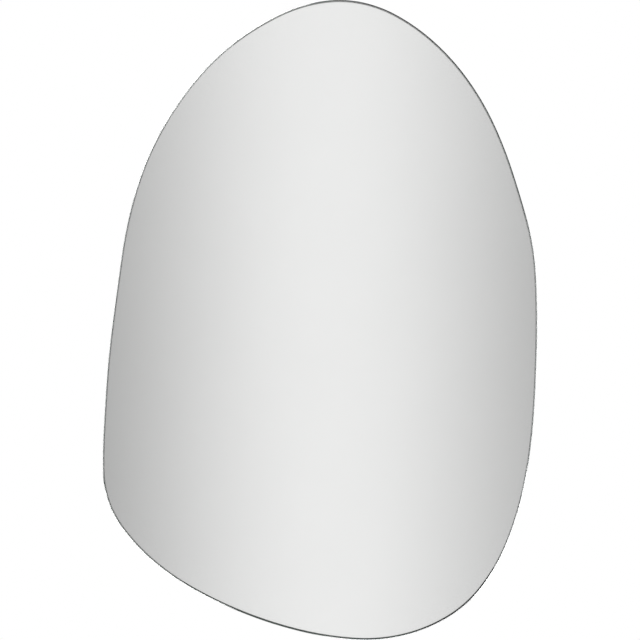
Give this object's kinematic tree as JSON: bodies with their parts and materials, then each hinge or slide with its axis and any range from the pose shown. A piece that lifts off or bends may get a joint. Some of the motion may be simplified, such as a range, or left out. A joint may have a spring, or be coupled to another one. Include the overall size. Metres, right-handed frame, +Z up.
{
  "type": "irregular shaped mirror",
  "caption": "Frameless wall mirror with a free, pebble-like outline, on a backing board that lifts off a hanging rail.",
  "frame": {"origin": "on the wall plane, in the middle of the wall rail's screw holes", "axes": "+X to the right as seen from the room, +Y into the wall, +Z up; the mirror faces -Y"},
  "size_m": [0.6109, 0.0237, 0.9],
  "materials": {
    "clear_glass": "clear float glass with a ground and polished edge",
    "silver_coating": "silvered side towards the glass, grey protective paint behind",
    "safety_film": "thin woven-backed plastic film",
    "foam_tape": "closed-cell foam",
    "mirror_adhesive": "cured neutral adhesive",
    "painted_board": "fine fibreboard with thin black paint",
    "rail_aluminium": "mill-finish extrusion with drawing lines",
    "screw_steel": "bright zinc plate",
    "bumper_rubber": "matt moulded rubber"
  },
  "bodies": {
    "wall_side": {"wall_rail": "rail_aluminium"},
    "mirror_side": {"mirror_glass": "clear_glass", "silver_coating": "silver_coating", "safety_film": "safety_film", "foam_tape_strips": "foam_tape", "adhesive_beads": "mirror_adhesive", "backing_board": "painted_board", "mirror_rail": "rail_aluminium", "mirror_rail_screws": "screw_steel", "left_wall_bumper": "bumper_rubber", "right_wall_bumper": "bumper_rubber", "bumper_screws": "screw_steel"}
  },
  "joints": [
    {"name": "lift_off", "type": "slide", "parent": "wall_side", "child": "mirror_side", "axis": [0, 0, 1], "range_m": [0, 0.013]}
  ]
}
